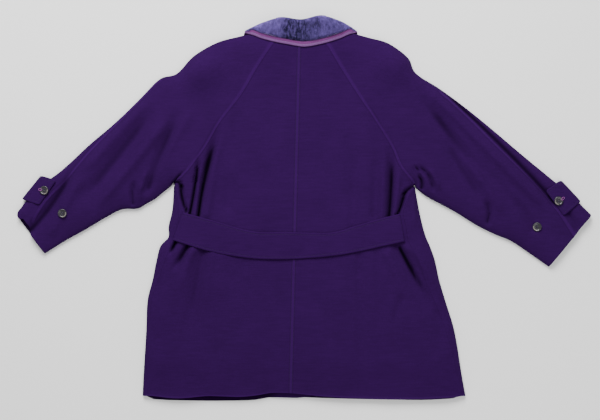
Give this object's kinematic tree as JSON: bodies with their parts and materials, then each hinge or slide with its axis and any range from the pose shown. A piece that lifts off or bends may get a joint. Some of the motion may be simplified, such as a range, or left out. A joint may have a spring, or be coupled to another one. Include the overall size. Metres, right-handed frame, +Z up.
{
  "type": "fur collar jacket",
  "caption": "Three-quarter wool jacket with raglan sleeves, plush fur collar, back belt and cuff tabs, laid flat face down.",
  "frame": {"origin": "centre of the coat's plan, on the surface it lies on", "axes": "+X runs across the coat from the left cuff to the right cuff as seen from above, +Y from the hem to the collar, +Z up from the surface"},
  "size_m": [1.268, 0.8466, 0.0371],
  "materials": {
    "wool": "brushed melton, matt",
    "fur": "short dense plush pile",
    "binding": "smooth, soft sheen",
    "button": "polished horn look"
  },
  "bodies": {
    "root": {"back_left": "wool", "back_right": "wool", "front_left": "wool", "front_right": "wool", "sleeve_back_left": "wool", "sleeve_back_right": "wool", "sleeve_front_left": "wool", "sleeve_front_right": "wool", "cuff_tab_left": "wool", "cuff_tab_right": "wool", "back_belt": "wool", "collar_back": "fur", "collar_leaf_left": "fur", "collar_leaf_right": "fur", "binding_back": "binding", "binding_leaf_left": "binding", "binding_leaf_right": "binding", "tab_button_left": "button", "tab_button_right": "button", "sleeve_button_left": "button", "sleeve_button_right": "button"}
  },
  "joints": []
}
